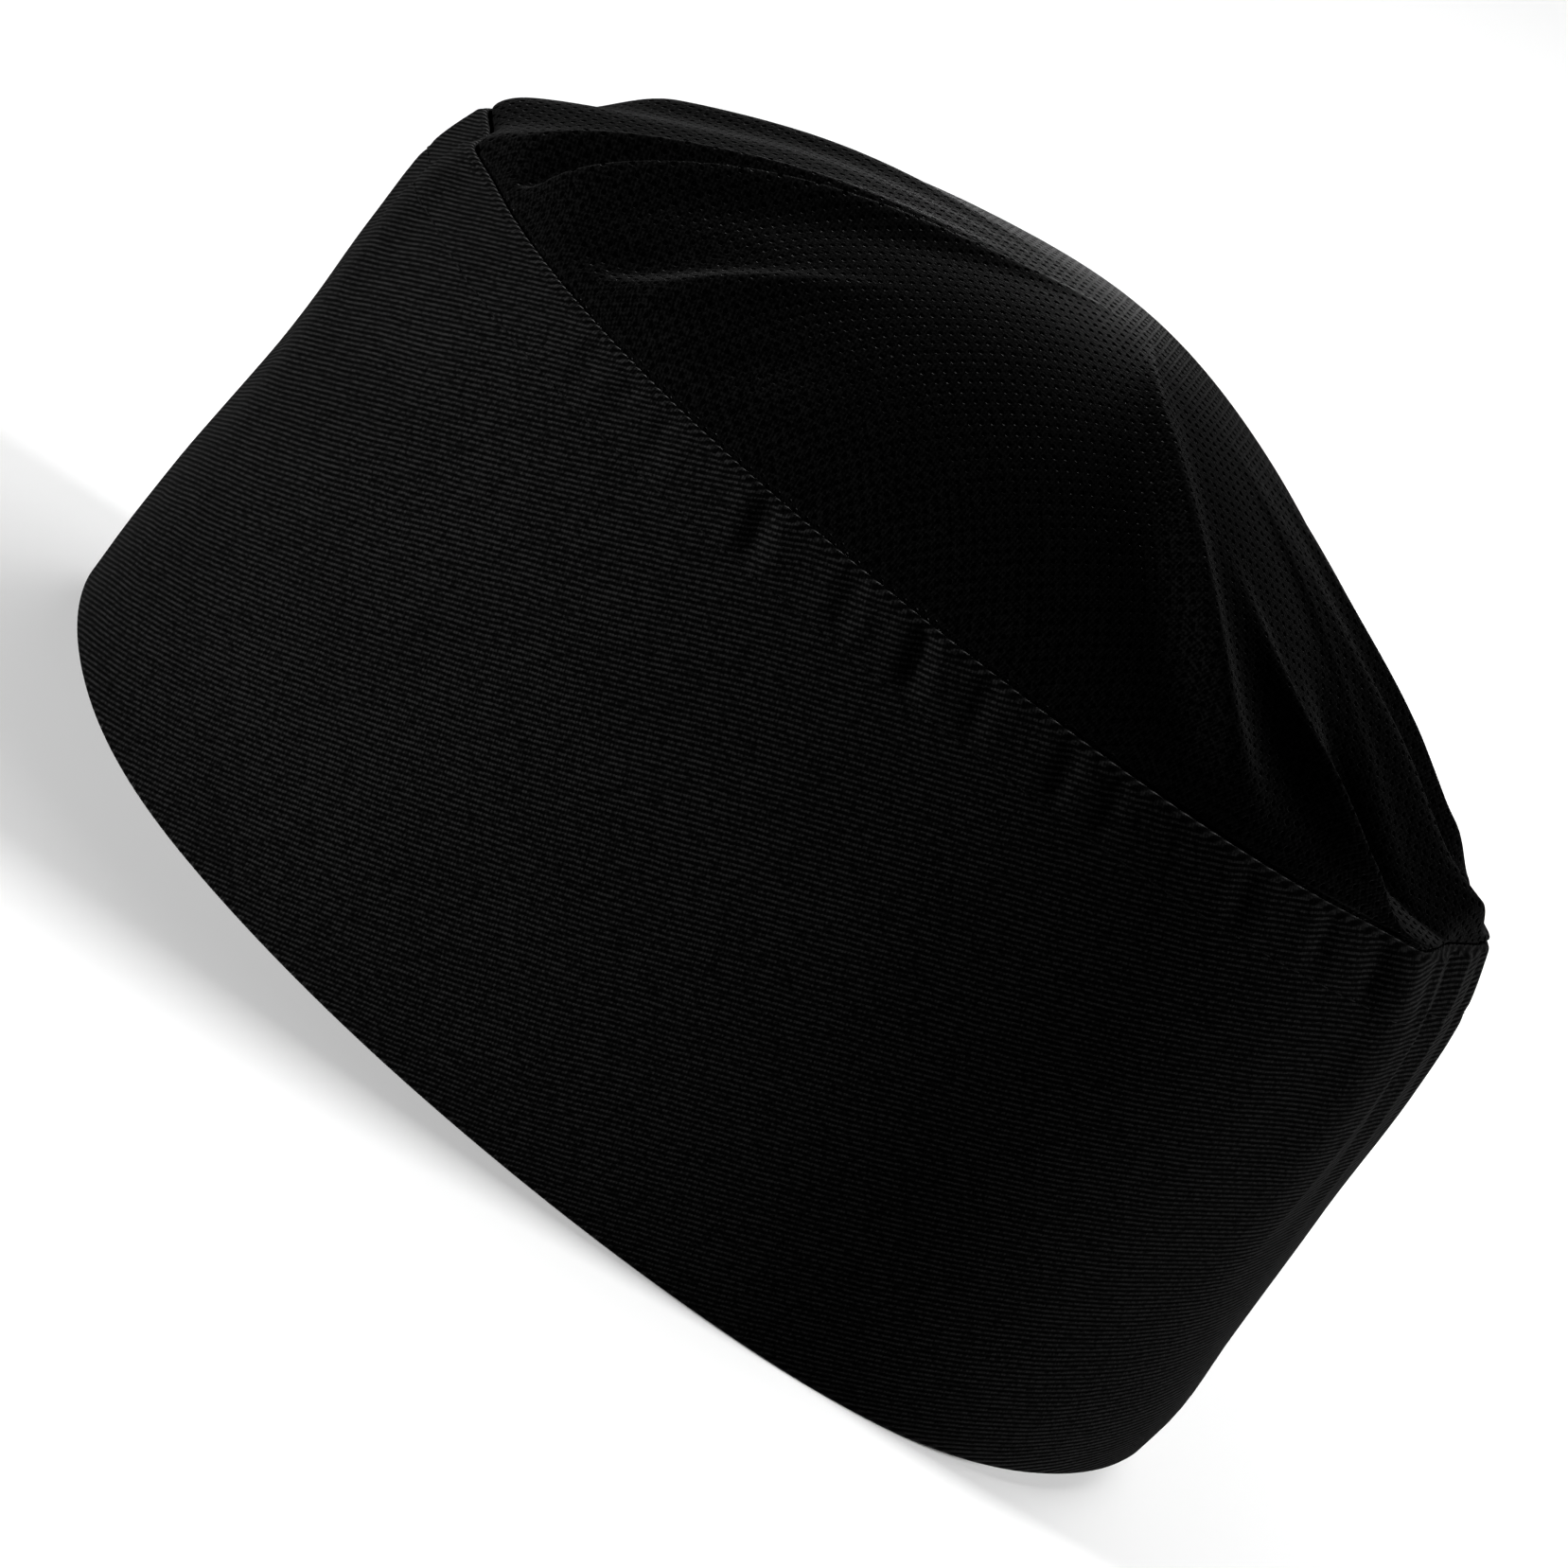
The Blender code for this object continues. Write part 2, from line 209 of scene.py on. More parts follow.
PUCKERS = (
    Pucker(-0.60, 0.35, 0.9, 0.4),
    Pucker(-0.53, 0.30, 0.8, 0.2),
    Pucker(-0.46, 0.35, 0.8, 0.3),
    Pucker(-0.285, 1.00, 1.0, 0.3),
    Pucker(-0.13, 0.55, 0.9, 0.2),
    Pucker(-0.01, 0.95, 1.0, 0.3),
    Pucker(0.10, 0.45, 0.9, 0.0),
    Pucker(0.24, 0.50, 0.9, 0.2),
    Pucker(0.32, 0.45, 0.8, 0.0),
    Pucker(0.42, 0.35, 0.9, 0.2),
    Pucker(0.54, 0.40, 0.9, 0.0),
    Pucker(0.67, 0.40, 0.8, -0.2),
    Pucker(0.75, 0.70, 0.9, -0.3),
    Pucker(0.83, 0.50, 0.8, -0.4),
)

CREASES = (
    Crease(End.RIGHT, -0.40, -0.10, 0.45, 1.1, 0.30),
    Crease(End.RIGHT, -0.30, -0.08, -0.60, 1.0, 0.35),
    Crease(End.RIGHT, -0.23, -0.12, 1.30, 1.0, 0.64),
    Crease(End.RIGHT, -0.155, -0.10, -1.10, 0.9, 0.58),
    Crease(End.RIGHT, -0.09, -0.12, 1.20, 1.0, 0.64),
    Crease(End.RIGHT, -0.01, -0.08, -0.90, 0.9, 0.50),
    Crease(End.RIGHT, 0.10, 0.00, 0.70, 1.2, 0.60),
    Crease(End.LEFT, -0.34, -0.04, -0.35, 1.2, 0.25),
    Crease(End.LEFT, -0.22, -0.04, 0.90, 1.2, 0.55),
    Crease(End.LEFT, -0.13, 0.00, -1.20, 0.9, 0.50),
    Crease(End.LEFT, 0.00, 0.00, 0.60, 1.3, 0.50),
    Crease(End.LEFT, 0.14, 0.02, -0.60, 1.1, 0.40),
)


def smooth_step(share: np.ndarray) -> np.ndarray:
    """Rises smoothly from 0 to 1 as share does."""
    held = np.clip(share, 0.0, 1.0)
    return held * held * (3.0 - 2.0 * held)


def signed_power(value: np.ndarray, power: np.ndarray) -> np.ndarray:
    """Raises the size of a value to a power and keeps its sign."""
    return np.sign(value) * np.abs(value) ** power


def lobe(distance: np.ndarray, spread: np.ndarray | float, sharpness: float) -> np.ndarray:
    """A smooth bump that is 1 at no distance and fades out past its spread."""
    return np.exp(-((np.abs(distance) / spread) ** sharpness))


def read_table(rows: tuple[Any, ...], key: str, column: str, place: np.ndarray) -> np.ndarray:
    """Reads one column of a table on a smooth curve through its rows.

    Args:
        rows: The table, with its key column rising.
        key: The name of the key column.
        column: The name of the column to read.
        place: Where to read it along the key column.

    Returns:
        The column's value at each place.
    """
    keys = np.array([getattr(row, key) for row in rows])
    values = np.array([getattr(row, column) for row in rows])
    slopes = np.gradient(values, keys)
    row = np.clip(np.searchsorted(keys, place) - 1, 0, len(keys) - 2)
    span = keys[row + 1] - keys[row]
    share = np.clip((place - keys[row]) / span, 0.0, 1.0)
    rest = 1.0 - share
    return (
        values[row] * (1.0 + 2.0 * share) * rest**2
        + values[row + 1] * (3.0 - 2.0 * share) * share**2
        + span * share * rest * (slopes[row] * rest - slopes[row + 1] * share)
    )


def from_end(angle: np.ndarray, end: End) -> np.ndarray:
    """The angle from one end's tip, from -pi to pi, with the near side negative at either end."""
    turn = (angle - end.value + math.pi) % (2.0 * math.pi) - math.pi
    return turn if end is End.RIGHT else -turn


def normals_of(grid: np.ndarray) -> np.ndarray:
    """Outward unit normals of a grid whose rows climb from the seam and whose columns run round."""
    up = np.gradient(grid, axis=0)
    around = np.roll(grid, -1, axis=1) - np.roll(grid, 1, axis=1)
    normal = np.cross(around, up)
    return normal / np.maximum(np.linalg.norm(normal, axis=-1, keepdims=True), 1e-12)


def place_in_scene(name: str, data: bpy.types.ID) -> bpy.types.Object:
    """Makes an object of its data and links it into the scene."""
    made = bpy.data.objects.new(name, data)
    bpy.context.scene.collection.objects.link(made)
    return made


@dataclass(frozen=True)
class CapForm:
    """The form that the band and the crown share. Lengths are in metres."""

    half_length: float = 0.1097
    half_width: float = 0.0740
    band_height: float = 0.1050
    crown_rise: float = 0.0405
    band_wall: float = 0.0018
    crown_wall: float = 0.0011
    seam_clearance: float = 0.0003
    seam_allowance: float = 0.0125
    seam_roll: float = 0.0010
    rim_lift: float = 0.0060
    lift_start: float = 0.55
    lift_power: float = 3.0
    flute_rise: float = 0.0030
    flute_spread: float = 0.0060
    fold_rise: float = 0.0060
    fold_spread: float = 0.0080
    fold_start: float = 0.16
    fold_fade: float = 0.60
    fold_turn: float = 0.40
    valley_share: float = 0.60
    apex_width: float = 0.15
    apex_along: float = -0.025
    angle_step: float = 1e-4

    def stations(self, count: int, crowding: float = 0.5) -> np.ndarray:
        """That many angles round the cap, closer together at its two ends."""
        turn = np.arange(count) * 2.0 * math.pi / count
        return turn - crowding * 0.5 * np.sin(2.0 * turn)

    def section(self, height: np.ndarray, column: str) -> np.ndarray:
        """Reads one column of the sections at a height share."""
        return read_table(SECTIONS, "height", column, height)

    def outline(self, angle: np.ndarray, height: np.ndarray) -> tuple[np.ndarray, np.ndarray]:
        """The band's plan outline, without its flutes, at an angle round the cap and a height share."""
        power = 2.0 / self.section(height, "squareness")
        east = signed_power(np.cos(angle), power)
        reach = np.where(east > 0.0, self.section(height, "right"), self.section(height, "left"))
        widest = self.section(height, "widest")
        x = self.half_length * (widest + np.where(east > 0.0, reach - widest, reach + widest) * east)
        y = self.half_width * self.section(height, "half_width") * signed_power(np.sin(angle), power)
        return x, y

    def flutes(self, angle: np.ndarray, height: np.ndarray) -> np.ndarray:
        """How far the flutes push the band out."""
        total = np.zeros(np.broadcast(angle, height).shape)
        seam_half_width = self.half_width * SECTIONS[-1].half_width
        for row in FLUTES:
            turn = from_end(angle, row.end)
            away = seam_half_width * np.sin(turn) - self.half_width * row.offset
            away = np.where(np.abs(turn) < math.pi / 2.0, away, self.half_width)
            fade = smooth_step(1.0 - (1.0 - height) / row.run)
            spread = self.flute_spread * row.spread
            total += self.flute_rise * row.rise * fade * lobe(away, spread, row.sharpness)
        return total

    def push_out(
        self,
        curve: Callable[[np.ndarray, np.ndarray], tuple[np.ndarray, np.ndarray]],
        angle: np.ndarray,
        height: np.ndarray,
        distance: np.ndarray,
    ) -> tuple[np.ndarray, np.ndarray]:
        """Moves a plan curve square to itself.

        Args:
            curve: The curve, as a function of angle and height share.
            angle: The angles round the cap.
            height: The height shares.
            distance: How far to move, outward where it is positive.

        Returns:
            The x and y of the moved points.
        """
        x, y = curve(angle, height)
        x_next, y_next = curve(angle + self.angle_step, height)
        x_last, y_last = curve(angle - self.angle_step, height)
        length = np.hypot(x_next - x_last, y_next - y_last)
        return x + distance * (y_next - y_last) / length, y - distance * (x_next - x_last) / length

    def fluted_outline(self, angle: np.ndarray, height: np.ndarray) -> tuple[np.ndarray, np.ndarray]:
        """The band's plan outline with its flutes."""
        return self.push_out(self.outline, angle, height, self.flutes(angle, height))

    def lift(self, angle: np.ndarray, height: np.ndarray) -> np.ndarray:
        """How far the cloth is drawn up over the two ends of the rim, fading out up the band."""
        way = np.clip((np.abs(np.cos(angle)) - self.lift_start) / (1.0 - self.lift_start), 0.0, 1.0)
        return self.rim_lift * way**self.lift_power * (1.0 - height) ** 2

    def wall(self, angle: np.ndarray, height: np.ndarray, inward: np.ndarray) -> np.ndarray:
        """Points of the band at angles and height shares, moved inward by distances."""
        x, y = self.push_out(self.fluted_outline, angle, height, -inward)
        z = self.band_height * height + self.lift(angle, height)
        return np.stack([x - self.middle(), y, z], axis=-1)

    def middle(self) -> float:
        """The x of the middle between the two ends, before the cap is centred."""
        return self.half_length * (SECTIONS[1].right - SECTIONS[1].left) / 2.0

    def apex(self) -> np.ndarray:
        """The crown's highest point."""
        x = self.half_length * self.apex_along - self.middle()
        return np.array([x, 0.0, self.band_height + self.crown_rise])

    def dome(self, angle: np.ndarray, climb: np.ndarray) -> np.ndarray:
        """The crown's outer face without its folds, at angles and climbs, 0 at the seam and 1 at the apex."""
        way = np.cos(climb * math.pi / 2.0)
        ring = self.wall(angle, np.ones_like(angle), np.full_like(angle, self.seam_roll))
        centre = self.apex()
        centre[2] = self.band_height
        plan = centre + (ring - centre) * way[..., None]
        reach = np.where(
            np.cos(angle) > 0.0,
            self.half_length * (SECTIONS[-1].right - self.apex_along),
            self.half_length * (SECTIONS[-1].left + self.apex_along),
        )
        along = np.clip((plan[..., 0] - centre[0]) / reach, -1.0, 1.0)
        rise = np.sin(climb * math.pi / 2.0) * read_table(CREST, "along", "fullness", along)
        plan[..., 2] += self.seam_roll + (self.crown_rise - self.seam_roll) * rise
        return plan

    def folds(self, angle: np.ndarray, climb: np.ndarray, around: np.ndarray) -> np.ndarray:
        """How far the folds push the crown out.

        Args:
            angle: The angles round the cap.
            climb: The climbs, 0 at the seam and 1 at the apex.
            around: The distance that a radian spans at the seam.

        Returns:
            The rise, negative in a valley.
        """
        total = np.zeros_like(climb)
        shrink = np.sqrt(np.cos(climb * math.pi / 2.0) + self.apex_width)
        for row in FOLDS:
            share = climb / row.reach
            track = np.radians(row.foot + (row.head - row.foot) * share)
            away = (from_end(angle, row.end) - track) * around * shrink
            spread = self.fold_spread * np.where(away < 0.0, row.near_spread, row.far_spread)
            taper = smooth_step(climb / self.fold_start) * smooth_step((1.0 - share) / self.fold_fade)
            total += self.fold_rise * row.rise * taper * lobe(away, spread, row.sharpness)
        return total


@dataclass
class ClothWall:
    """A closed cloth wall, as rings of points that run round the cap.

    The rings go down the wall's inner face and up its outer face. They close on each other, or on two poles.
    """

    rings: np.ndarray
    flat: np.ndarray
    poles: np.ndarray | None = None
    pole_flat: np.ndarray | None = None

    def piece(self, name: str, material: bpy.types.Material) -> bpy.types.Object:
        """Makes the wall a mesh object with its cloth map.

        Args:
            name: The object's name.
            material: The cloth's finish.

        Returns:
            The object, in the scene.
        """
        rows, columns = self.rings.shape[:2]
        closed = self.poles is None
        row, column = np.meshgrid(np.arange(rows if closed else rows - 1), np.arange(columns), indexing="ij")
        row, column = row.ravel(), column.ravel()
        corner_row = np.stack([row, row, row + 1, row + 1], axis=-1)
        corner_column = np.stack([column, column + 1, column + 1, column], axis=-1)
        faces = ((corner_row % rows) * columns + corner_column % columns).tolist()
        places = [self.flat[corner_row, corner_column].reshape(-1, 2)]
        points = self.rings.reshape(-1, 3)
        if not closed:
            first = len(points)
            points = np.concatenate([points, self.poles])
            here = np.arange(columns)
            after = here + 1
            last = (rows - 1) * columns
            faces += np.stack([here * 0 + first, after % columns, here], axis=-1).tolist()
            faces += np.stack([last + here, last + after % columns, here * 0 + first + 1], axis=-1).tolist()
            inner, outer = np.broadcast_to(self.pole_flat[:, None], (2, columns, 2))
            bottom = [inner, self.flat[0, after], self.flat[0, here]]
            top = [self.flat[rows - 1, here], self.flat[rows - 1, after], outer]
            places += [np.stack(corners, axis=1).reshape(-1, 2) for corners in (bottom, top)]
        mesh = bpy.data.meshes.new(name)
        mesh.from_pydata(points.tolist(), [], faces)
        layer = mesh.uv_layers.new(name=CLOTH_MAP)
        layer.data.foreach_set("uv", np.concatenate(places).astype(np.float32).ravel())
        mesh.shade_smooth()
        mesh.materials.append(material)
        return place_in_scene(name, mesh)


class Wire:
    """A socket's value in an expression: an operator on it adds the Math node that works it out."""

    def __init__(self, bench: "NodeBench", socket: bpy.types.NodeSocket) -> None:
        """Holds the socket and the bench that its tree is built on."""
        self.bench = bench
        self.socket = socket

    def __add__(self, other: "Wire | float") -> "Wire":
        """Adds."""
        return self.bench.maths("ADD", self, other)

    __radd__ = __add__

    def __mul__(self, other: "Wire | float") -> "Wire":
        """Multiplies."""
        return self.bench.maths("MULTIPLY", self, other)

    __rmul__ = __mul__

    def __sub__(self, other: "Wire | float") -> "Wire":
        """Takes other away."""
        return self.bench.maths("SUBTRACT", self, other)

    def __rsub__(self, other: float) -> "Wire":
        """Takes this away from other."""
        return self.bench.maths("SUBTRACT", other, self)

    def cosine(self) -> "Wire":
        """The cosine of so many whole turns."""
        return self.bench.maths("COSINE", self * (2.0 * math.pi))

    def wave(self) -> "Wire":
        """Runs from 0 to 1 and back once for every whole turn, with 1 at the whole turns."""
        return self.cosine() * 0.5 + 0.5

    def between(self, low: float, high: float) -> "Wire":
        """Rises smoothly from 0 at low to 1 at high."""
        settings = {"interpolation_type": "SMOOTHSTEP"}
        sockets = {"Value": self, "From Min": low, "From Max": high}
        return self.bench.add("ShaderNodeMapRange", settings, sockets).wire("Result")


class Placed(NamedTuple):
    """A node on a bench."""

    bench: "NodeBench"
    node: bpy.types.Node

    def wire(self, output: str | int) -> Wire:
        """One of the node's outputs."""
        return Wire(self.bench, self.node.outputs[output])


class NodeBench:
    """A node tree and the one way that nodes are added to it."""

    def __init__(self, tree: bpy.types.NodeTree) -> None:
        """Clears the tree."""
        self.tree = tree
        tree.nodes.clear()

    def add(
        self,
        kind: str,
        settings: dict[str, Any] | None = None,
        sockets: dict[str | int, Any] | None = None,
    ) -> Placed:
        """Adds one node.

        Args:
            kind: The node's type.
            settings: Its own settings, which are set first.
            sockets: The values or wires of its inputs.

        Returns:
            The node, placed.
        """
        node = self.tree.nodes.new(kind)
        for name, value in (settings or {}).items():
            setattr(node, name, value)
        for key, value in (sockets or {}).items():
            if isinstance(value, Wire):
                self.tree.links.new(value.socket, node.inputs[key])
            else:
                node.inputs[key].default_value = value
        return Placed(self, node)

    def maths(self, operation: str, *values: "Wire | float") -> Wire:
        """Adds a Math node."""
        return self.add("ShaderNodeMath", {"operation": operation}, dict(enumerate(values))).wire(0)

    def mix(self, share: Wire, low: tuple[float, ...], high: tuple[float, ...]) -> Wire:
        """Adds a colour mix, from low where share is 0 to high where it is 1."""
        sockets = {0: share, 6: low, 7: high}
        return self.add("ShaderNodeMix", {"data_type": "RGBA"}, sockets).wire(2)

    def noise(self, place: Wire, scale: float, detail: float = 2.0) -> Wire:
        """Adds a noise, about 0.5 in the middle."""
        sockets = {"Vector": place, "Scale": scale, "Detail": detail}
        return self.add("ShaderNodeTexNoise", {"noise_dimensions": "3D"}, sockets).wire("Fac")

    def cloth_place(self) -> tuple[Wire, Wire]:
        """Where the surface lies on its own flat cloth, in metres."""
        place = self.add("ShaderNodeUVMap", {"uv_map": CLOTH_MAP}).wire("UV")
        apart = self.add("ShaderNodeSeparateXYZ", None, {0: place})
        return apart.wire("X"), apart.wire("Y")

    def object_place(self) -> Wire:
        """Where the surface lies on the object, in metres."""
        return self.add("ShaderNodeTexCoord").wire("Object")


def new_material(name: str) -> tuple[bpy.types.Material, NodeBench]:
    """A new node material and the bench that its nodes are built on."""
    material = bpy.data.materials.new(name)
    material.use_nodes = True
    return material, NodeBench(material.node_tree)


@dataclass(frozen=True)
class ClothSheen:
    """The values that are the same all over a cloth."""

    sheen: float
    sheen_roughness: float
    specular: float
    # Painted shade: a flat near-black colour for each hole of the mesh, standing in for the shaded inside of
    # the cap.
    hole_shade: tuple[float, ...] = (0.0002, 0.0002, 0.0002, 1.0)

    def finish(
        self,
        bench: NodeBench,
        colour: Wire,
        roughness: Wire,
        height: Wire,
        depth: float,
        hole: Wire | None = None,
    ) -> None:
        """Ends a cloth's tree.

        Args:
            bench: The bench that the tree is built on.
            colour: The cloth's colour.
            roughness: Its roughness.
            height: The height of its threads, from 0 to 1.
            depth: The distance in metres between the two.
            hole: 1 where the cloth has a hole, which is painted as a near-black surface without fibres to
                catch the light, for the shade inside the cap, and 0 elsewhere.
        """
        bump = bench.add("ShaderNodeBump", None, {"Strength": 1.0, "Distance": depth, "Height": height})
        sockets = {
            "Base Color": colour,
            "Roughness": roughness,
            "Normal": bump.wire("Normal"),
            "Sheen Weight": self.sheen,
            "Sheen Roughness": self.sheen_roughness,
            "Specular IOR Level": self.specular,
        }
        surface = bench.add("ShaderNodeBsdfPrincipled", None, sockets).wire("BSDF")
        # Painted shade: each hole gets a near-black surface with no sheen or gloss instead of an opening.
        if hole is not None:
            hole_shade = {"Base Color": self.hole_shade, "Roughness": 1.0, "Specular IOR Level": 0.0}
            empty = bench.add("ShaderNodeBsdfPrincipled", None, hole_shade).wire("BSDF")
            surface = bench.add("ShaderNodeMixShader", None, {0: hole, 1: surface, 2: empty}).wire(0)
        bench.add("ShaderNodeOutputMaterial", None, {"Surface": surface})


@dataclass(frozen=True)
class TwillFinish:
    """Black twill: diagonal ribs that rise to the right, each a row of short floats.

    The cloth is pulled so that the ribs rise more at its left end than at its right. The counts are whole, so
    that the weave closes where the band's cloth meets itself at the back.
    """

    round_length: float
    rib_pitch: float = 0.00089
    yarn_pitch: float = 0.00052
    slope: float = 0.39
    slope_change: float = 0.13
    depth: float = 0.00012
    yarn_lean: float = 0.25
    wander: float = 0.7
    wander_scale: float = 90.0
    speckle_scale: float = 1900.0
    patch_scale: float = 55.0
    # groove is painted shade in the grooves between the ribs and ridge is a painted highlight on the rib
    # threads; the yarn itself is one black.
    groove: tuple[float, ...] = (0.0004, 0.0004, 0.0004, 1.0)
    ridge: tuple[float, ...] = (0.0086, 0.0086, 0.0086, 1.0)
    sheen: ClothSheen = ClothSheen(0.034, 0.30, 0.0)

    def material(self) -> bpy.types.Material:
        """Builds the material."""
        material, bench = new_material("black_twill_weave")
        u, v = bench.cloth_place()
        place = bench.object_place()
        ribs = round(self.round_length * self.slope / self.rib_pitch)
        yarns = round(self.round_length / self.yarn_pitch)
        swing = self.slope_change * self.round_length / (2.0 * math.pi * self.rib_pitch)
        wander = bench.noise(place, self.wander_scale, 1.0) * self.wander
        turn = (u * (1.0 / self.round_length)).cosine()
        climb = v * (1.0 / self.rib_pitch) - u * (ribs / self.round_length) + turn * swing
        rib = (climb + wander).wave()
        yarn = (u * (yarns / self.round_length) + v * (self.yarn_lean / self.yarn_pitch)).wave()
        speckle = bench.noise(place, self.speckle_scale, 3.0).between(0.36, 0.64)
        patch = bench.noise(place, self.patch_scale, 3.0)
        thread = rib.between(0.25, 0.95) * (0.45 + yarn * 0.55)
        height = rib * 0.7 + thread * 0.3
        # shade is painted light: the colour runs from painted shade in the grooves to a painted highlight on
        # the raised rib threads, varied by random speckle and patches.
        shade = (thread * (speckle * 0.95 + 0.25) + speckle * yarn * 0.16) * (patch * 0.6 + 0.7)
        roughness = 0.74 - height * 0.20
        self.sheen.finish(bench, bench.mix(shade, self.groove, self.ridge), roughness, height, self.depth)
        return material


@dataclass(frozen=True)
class PerforatedFinish:
    """Black mesh cloth: a knit with small holes in a staggered lattice."""

    column_pitch: float = 0.00274
    row_pitch: float = 0.00260
    wale_pitch: float = 0.000685
    depth: float = 0.00017
    hole_edge: tuple[float, float] = (0.42, 0.72)
    wander: float = 0.16
    wander_scale: float = 140.0
    speckle_scale: float = 1700.0
    # dark and light are partly painted light: painted shade between the knit's loops and a painted highlight
    # on their tops; the yarn itself is one black, and random speckle adds tone.
    dark: tuple[float, ...] = (0.0002, 0.0002, 0.0002, 1.0)
    light: tuple[float, ...] = (0.0021, 0.0021, 0.0021, 1.0)
    sheen: ClothSheen = ClothSheen(0.050, 0.30, 0.0)

    def material(self) -> bpy.types.Material:
        """Builds the material."""
        material, bench = new_material("black_perforated_knit")
        u, v = bench.cloth_place()
        place = bench.object_place()
        wander = bench.noise(place, self.wander_scale, 1.0) * self.wander
        across = u * (1.0 / self.column_pitch) + wander
        along = v * (1.0 / self.row_pitch) + wander
        lattice = across.cosine() * along.cosine()
        hole = lattice.between(*self.hole_edge)
        wale = (u * (1.0 / self.wale_pitch)).wave()
        loop = (v * (1.0 / self.wale_pitch) + wale * 0.3).wave()
        speckle = bench.noise(place, self.speckle_scale, 3.0).between(0.32, 0.70)
        knit = wale * 0.30 + loop * 0.25 + speckle * 0.45
        height = knit * 0.45 * (1.0 - hole) + (1.0 - hole) * 0.55
        # Painted light: the yarn's colour is lighter where the wales and loops stand up and darker between
        # them, with random speckle on top.
        yarn = bench.mix(knit.between(0.20, 0.95), self.dark, self.light)
        self.sheen.finish(bench, yarn, 0.72 - knit * 0.08, height, self.depth, hole)
        return material


@dataclass(frozen=True)
class ThreadFinish:
    """Black sewing thread, twisted and a little smoother than the cloth."""

    twist_pitch: float = 0.00045
    depth: float = 0.00004
    # dark and light are painted shade between the plies of the twist and a painted highlight on them; the
    # thread itself is one black.
    dark: tuple[float, ...] = (0.0008, 0.0008, 0.0008, 1.0)
    light: tuple[float, ...] = (0.0030, 0.0030, 0.0030, 1.0)
    sheen: ClothSheen = ClothSheen(0.004, 0.35, 0.01)

    def material(self) -> bpy.types.Material:
        """Builds the material."""
        material, bench = new_material("black_sewing_thread")
        place = bench.object_place()
        apart = bench.add("ShaderNodeSeparateXYZ", None, {0: place})
        turn = apart.wire("X") + apart.wire("Y") * 0.8 + apart.wire("Z") * 0.6
        twist = (turn * (1.0 / self.twist_pitch)).wave()
        # Painted light: the thread's colour is lighter on the raised plies of its twist and darker between
        # them.
        colour = bench.mix(twist, self.dark, self.light)
        self.sheen.finish(bench, colour, 0.72 - twist * 0.1, twist, self.depth)
        return material


@dataclass(frozen=True)
class FloorFinish:
    """A plain pale floor."""

    colour: tuple[float, ...] = (0.86, 0.86, 0.86, 1.0)
    roughness: float = 0.9

    def material(self) -> bpy.types.Material:
        """Builds the material."""
        material, bench = new_material("pale_floor")
        sockets = {"Base Color": self.colour, "Roughness": self.roughness, "Specular IOR Level": 0.0}
        shader = bench.add("ShaderNodeBsdfPrincipled", None, sockets)
        bench.add("ShaderNodeOutputMaterial", None, {"Surface": shader.wire("BSDF")})
        return material


